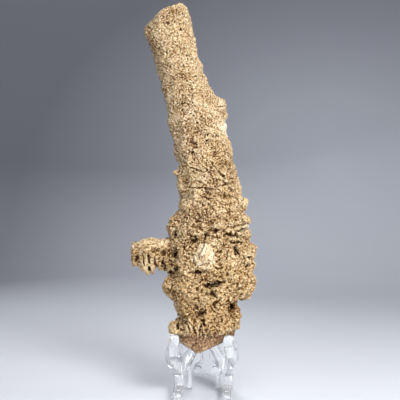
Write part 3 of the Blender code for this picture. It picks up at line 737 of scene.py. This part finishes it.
def moulded_bar(stations):
    """A bar drawn out upwards. Each station is its middle, half width and half depth, in millimetres."""
    x, y, z, wide, deep = stations[0]
    bpy.ops.mesh.primitive_cube_add(size=2 * MM, location=(x * MM, y * MM, z * MM))
    bar = bpy.context.active_object
    bpy.ops.object.mode_set(mode="EDIT")
    bpy.ops.mesh.select_all(action="SELECT")
    bpy.ops.transform.resize(value=(wide, deep, 0.4))
    bpy.ops.mesh.select_mode(type="FACE")
    for (x0, y0, z0, w0, d0), (x1, y1, z1, w1, d1) in zip(stations, stations[1:]):
        bpy.ops.mesh.select_all(action="DESELECT")
        bpy.ops.object.mode_set(mode="OBJECT")
        top = max(bar.data.polygons, key=lambda f: f.center.z)
        top.select = True
        bpy.ops.object.mode_set(mode="EDIT")
        step = ((x1 - x0) * MM, (y1 - y0) * MM, (z1 - z0) * MM)
        bpy.ops.mesh.extrude_region_move(TRANSFORM_OT_translate={"value": step})
        bpy.ops.transform.resize(value=(w1 / w0, d1 / d0, 1.0))
    bpy.ops.object.mode_set(mode="OBJECT")
    bpy.ops.object.transform_apply(location=True, rotation=True, scale=True)
    soft = bar.modifiers.new("soft", "SUBSURF")
    soft.levels = 2
    soft.render_levels = 2
    apply_all(bar)
    return bar


def rod(points, radius):
    """A round bead along these points, in millimetres."""
    line = bpy.data.curves.new("rod", "CURVE")
    line.dimensions = "3D"
    line.bevel_depth = radius * MM
    line.bevel_resolution = 3
    line.use_fill_caps = True
    path = line.splines.new("POLY")
    path.points.add(len(points) - 1)
    for spot, at in zip(path.points, points):
        spot.co = (at[0] * MM, at[1] * MM, at[2] * MM, 1.0)
    made = bpy.data.objects.new("rod", line)
    bpy.context.collection.objects.link(made)
    pick(made)
    bpy.ops.object.convert(target="MESH")
    return made


def plate(name, outline, half_thick, rounding):
    """A flat piece with this outline, in millimetres, in the XY plane, its edges rounded."""
    corners = [Vector((x * MM, y * MM, -half_thick * MM)) for x, y in outline]
    bpy.ops.mesh.primitive_plane_add(size=MM)
    made = bpy.context.active_object
    made.name = name
    bpy.ops.object.mode_set(mode="EDIT")
    bpy.ops.mesh.select_mode(type="VERT")
    bpy.ops.mesh.select_all(action="SELECT")
    bpy.ops.mesh.merge(type="CENTER")
    bpy.ops.transform.translate(value=corners[0])
    for corner, after in zip(corners, corners[1:]):
        bpy.ops.mesh.extrude_vertices_move(TRANSFORM_OT_translate={"value": after - corner})
    bpy.ops.mesh.select_all(action="SELECT")
    bpy.ops.mesh.edge_face_add()
    bpy.ops.mesh.extrude_region_move(TRANSFORM_OT_translate={"value": (0, 0, 2 * half_thick * MM)})
    bpy.ops.mesh.select_all(action="SELECT")
    bpy.ops.mesh.normals_make_consistent(inside=False)
    bpy.ops.object.mode_set(mode="OBJECT")
    edge = made.modifiers.new("edge", "BEVEL")
    edge.width = rounding * MM
    edge.segments = 3
    apply_all(made)
    return made


def lump(sizes, spot):
    """Shapes the small primitive that was just added: its half sizes and its middle, in millimetres."""
    made = bpy.context.active_object
    bpy.ops.object.mode_set(mode="EDIT")
    bpy.ops.mesh.select_all(action="SELECT")
    bpy.ops.transform.resize(value=sizes)
    bpy.ops.transform.translate(value=tuple(value * MM for value in spot))
    bpy.ops.object.mode_set(mode="OBJECT")
    return made


def on_wishbone(x, height, proud):
    """A spot on the wishbone, in millimetres: across it, up its slope and out of its front."""
    lean = math.radians(WISHBONE_LEAN)
    y = WISHBONE_FOOT + BACKWARD + height * math.sin(lean) - (1.6 + proud) * math.cos(lean)
    return (MIDDLE + x, y, height * math.cos(lean) - proud * math.sin(lean))


# Clear polystyrene, injection moulded: nearly colourless, glossy and see-through, with a little haze
# that makes its thick edges look milky. Its slight roughness blurs what is seen through it.
clear = bpy.data.materials.new("clear_polystyrene")
clear.use_nodes = True
plastic = clear.node_tree.nodes["Principled BSDF"]
plastic.inputs["Base Color"].default_value = to_linear("fcfdff")
plastic.inputs["Transmission Weight"].default_value = 0.85
plastic.inputs["IOR"].default_value = 1.49
plastic.inputs["Roughness"].default_value = 0.03


def moulded(piece, extras, skin, easing):
    """Fuses a piece and its extras into one clear moulding with soft edges."""
    pick(piece)
    for extra in extras:
        extra.select_set(True)
    bpy.ops.object.join()
    fuse(piece, skin)
    ease = piece.modifiers.new("ease", "SMOOTH")
    ease.factor = 0.5
    ease.iterations = easing
    apply_all(piece)
    bpy.ops.object.shade_smooth()
    piece.data.materials.clear()
    piece.data.materials.append(clear)


mirrored = [(-x, y) for x, y in reversed(HALF_WISHBONE[:-1])]
easel = plate("clear_easel", (*HALF_WISHBONE, *mirrored), 1.5, 0.5)
stand = Matrix.Rotation(math.radians(90 - WISHBONE_LEAN), 4, "X")
easel.data.transform(Matrix.Translation((MIDDLE * MM, (WISHBONE_FOOT + BACKWARD) * MM, 0)) @ stand)
extras = []
for side in (-1, 1):
    bracket = plate("bracket", ARM_AND_FOOT, 3.5, 1.2)
    across = Matrix(((0, 0, 1, 0), (1, 0, 0, 0), (0, 1, 0, 0), (0, 0, 0, 1)))
    splay = Matrix.Rotation(math.radians(side * SPLAY), 4, "Y")
    seat = Matrix.Translation((0, 0, SPLAY_HEIGHT * MM))
    home = Matrix.Translation(((MIDDLE + side * 20.2) * MM, BACKWARD * MM, 0))
    bracket.data.transform(home @ seat @ splay @ seat.inverted() @ across)
    extras.append(bracket)
    for bar in (SHOULDER, KNOB, LEG, POST):
        extras.append(moulded_bar([(MIDDLE + side * x, y + BACKWARD, *rest) for x, y, *rest in bar]))
    bpy.ops.mesh.primitive_cube_add(size=2 * MM)
    extras.append(lump((1.2, 3.2, 3.4), (MIDDLE + side * 6.1, 18.4 + BACKWARD, 63.8)))
    for rim, radius in ((INNER_RIM, 1.0), (OUTER_RIM, 0.8)):
        extras.append(rod([on_wishbone(side * x, height, RIM_PROUD) for x, height in rim], radius))
moulded(easel, extras, FRAME_SKIN, FRAME_EASING)
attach(easel, "root")
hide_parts("easel_frame")


# The easel's back leg: the same clear plastic, a flat strut with thin flanges along both sides, that
# spreads into a foot with two round lobes. It leans forward against the wishbone.
BACK_LEG_SKIN = 0.4 * MM
BACK_LEG_EASING = 4
BACK_LEG_LEAN = 15  # degrees forward from upright


def on_back_leg(x, height, proud):
    """A spot on the back leg, in millimetres: across it, up its slope and out of its front."""
    lean = math.radians(BACK_LEG_LEAN)
    y = 19.4 + 64.0 * math.sin(lean) + BACKWARD - height * math.sin(lean) - (1.4 + proud) * math.cos(lean)
    return (MIDDLE + x, y, height * math.cos(lean) - proud * math.sin(lean))


strut = merged_copy("clear_back_leg", "easel_back_leg")
extras = []
for side in (-1, 1):
    extras.append(rod([on_back_leg(side * 3.6, 12.0, 0.5), on_back_leg(side * 3.6, 63.5, 0.5)], 1.3))
    bpy.ops.mesh.primitive_uv_sphere_add(segments=24, ring_count=12, radius=MM)
    extras.append(lump((3.6, 2.4, 3.8), on_back_leg(side * 6.6, 5.4, -1.4)))
moulded(strut, extras, BACK_LEG_SKIN, BACK_LEG_EASING)
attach(strut, "root")
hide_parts("easel_back_leg")


# The stage: a pale floor that sweeps up into a plain grey backdrop all round, soft lights and the
# camera. Sizes are in metres.
FLOOR_FLAT = 0.36
SWEEP = 0.50
SWEEP_STEPS = 16
WALL_TOP = 1.5
AROUND = 72
FLOOR_DROP = 0.0002  # the floor lies this far under the easel's feet
profile = []
for step in range(SWEEP_STEPS + 1):
    turn = math.radians(90 * step / SWEEP_STEPS)
    profile.append((FLOOR_FLAT + SWEEP * math.sin(turn), SWEEP * (1 - math.cos(turn))))
profile.append((FLOOR_FLAT + SWEEP, WALL_TOP))
bpy.ops.mesh.primitive_circle_add(
    vertices=AROUND, radius=FLOOR_FLAT, fill_type="TRIFAN", location=(0.0, 0.0, -FLOOR_DROP))
backdrop = bpy.context.active_object
backdrop.name = "backdrop"
bpy.ops.object.transform_apply(location=True, rotation=True, scale=True)
bpy.ops.object.mode_set(mode="EDIT")
bpy.ops.mesh.select_mode(type="EDGE")
bpy.ops.mesh.select_all(action="SELECT")
bpy.ops.mesh.region_to_loop()
for (reach, height), (wider, higher) in zip(profile, profile[1:]):
    bpy.ops.mesh.extrude_edges_move(TRANSFORM_OT_translate={"value": (0.0, 0.0, higher - height)})
    bpy.ops.transform.resize(value=(wider / reach, wider / reach, 1.0), center_override=(0.0, 0.0, 0.0))
bpy.ops.object.mode_set(mode="OBJECT")
bpy.ops.object.shade_smooth()

# Matt backdrop paper: smooth and even, palest on the floor in front, greyer towards the back as a painted
# shadow, and darker up the wall, away from where the light pools.
PALE_FLOOR = to_linear("bec0c6")
FAR_FLOOR_SHADOW = to_linear("8c8f96")
paper = bpy.data.materials.new("matt_paper")
paper.use_nodes = True
tree = paper.node_tree
spot = node(tree, "ShaderNodeTexCoord").outputs["Object"]
parts = node(tree, "ShaderNodeSeparateXYZ", inputs={"Vector": spot}).outputs
across = node(tree, "ShaderNodeMath", {"operation": "MULTIPLY_ADD"}, {
    0: parts["X"], 1: 2.0, 2: -0.32}).outputs[0]
upward = node(tree, "ShaderNodeMath", {"operation": "MULTIPLY_ADD"}, {
    0: parts["Z"], 1: 2.6, 2: -0.40}).outputs[0]
glow = node(tree, "ShaderNodeCombineXYZ", inputs={"X": across, "Y": upward}).outputs[0]
far = node(tree, "ShaderNodeVectorMath", {"operation": "LENGTH"}, {0: glow}).outputs["Value"]
shade = node(tree, "ShaderNodeValToRGB", inputs={"Fac": far})
stops(shade, (0.0, "a0a3ac"), (0.3, "95989f"), (0.6, "7c7e86"), (0.95, "5f6167"))
level = node(tree, "ShaderNodeMapRange", inputs={
    "Value": parts["Z"], "From Min": -0.0004, "From Max": 0.016})
back = node(tree, "ShaderNodeMapRange", inputs={"Value": parts["Y"], "From Min": 0.0, "From Max": 0.40})
pale = node(tree, "ShaderNodeMix", {"data_type": "RGBA"}, {
    "Factor": back.outputs["Result"], "A": PALE_FLOOR, "B": FAR_FLOOR_SHADOW})
floor = node(tree, "ShaderNodeMix", {"data_type": "RGBA"}, {
    "Factor": level.outputs["Result"], "A": pale.outputs["Result"], "B": shade.outputs["Color"]})
front = node(tree, "ShaderNodeMapRange", inputs={"Value": parts["Y"], "From Min": 0.0, "From Max": -0.35})
mix = node(tree, "ShaderNodeMix", {"data_type": "RGBA"}, {
    "Factor": front.outputs["Result"], "A": floor.outputs["Result"], "B": PALE_FLOOR})
tree.links.new(mix.outputs["Result"], tree.nodes["Principled BSDF"].inputs["Base Color"])
tree.nodes["Principled BSDF"].inputs["Roughness"].default_value = 0.7
backdrop.data.materials.append(paper)

# Plain soft light: a large key from the front right, one overhead, and weak ones that open the shadows.
world = bpy.data.worlds.new("studio")
bpy.context.scene.world = world
world.use_nodes = True
world.node_tree.nodes["Background"].inputs["Color"].default_value = (0.75, 0.78, 0.85, 1.0)
world.node_tree.nodes["Background"].inputs["Strength"].default_value = 0.48


def soft_light(name, spot, aim, size, power):
    """A round soft light: where it hangs, what it aims at, how wide it is, and its watts."""
    lamp = bpy.data.lights.new(name, "AREA")
    lamp.shape = "DISK"
    lamp.size = size
    lamp.energy = power
    obj = bpy.data.objects.new(name, lamp)
    obj.location = spot
    obj.rotation_euler = (Vector(spot) - Vector(aim)).to_track_quat("Z", "Y").to_euler()
    bpy.context.collection.objects.link(obj)


soft_light("key", (0.46, -0.64, 0.46), (0.0, 0.0, 0.14), 0.42, 12.4)
soft_light("overhead", (0.05, -0.20, 1.05), (0.0, 0.0, 0.20), 0.45, 3.0)
soft_light("behind", (-0.10, 0.45, 0.42), (0.0, 0.02, 0.0), 0.30, 1.9)
soft_light("low_front", (-0.16, -0.64, 0.07), (0.0, 0.0, 0.0), 0.25, 3.0)
soft_light("side_right", (0.72, -0.02, 0.25), (0.0, 0.0, 0.10), 0.22, 1.4)

IMAGE_WIDTH = 400
FOCAL_PIXELS = 833
AWAY = 0.6
AIM_X, AIM_Y = 0.00445, -0.00336
EYE_HEIGHT = 0.170
lens = bpy.data.cameras.new("camera")
lens.sensor_width = 36.0
lens.lens = lens.sensor_width * FOCAL_PIXELS / IMAGE_WIDTH
lens.clip_start = 0.01
view = bpy.data.objects.new("camera", lens)
turn = math.radians(4)  # the camera stands a little to the right and looks 3 degrees down
view.location = (AWAY * math.sin(turn) + AIM_X, -AWAY * math.cos(turn) + AIM_Y, EYE_HEIGHT)
view.rotation_euler = (math.radians(87), 0.0, turn)
bpy.context.collection.objects.link(view)
bpy.context.scene.camera = view
bpy.context.scene.view_settings.view_transform = "Standard"
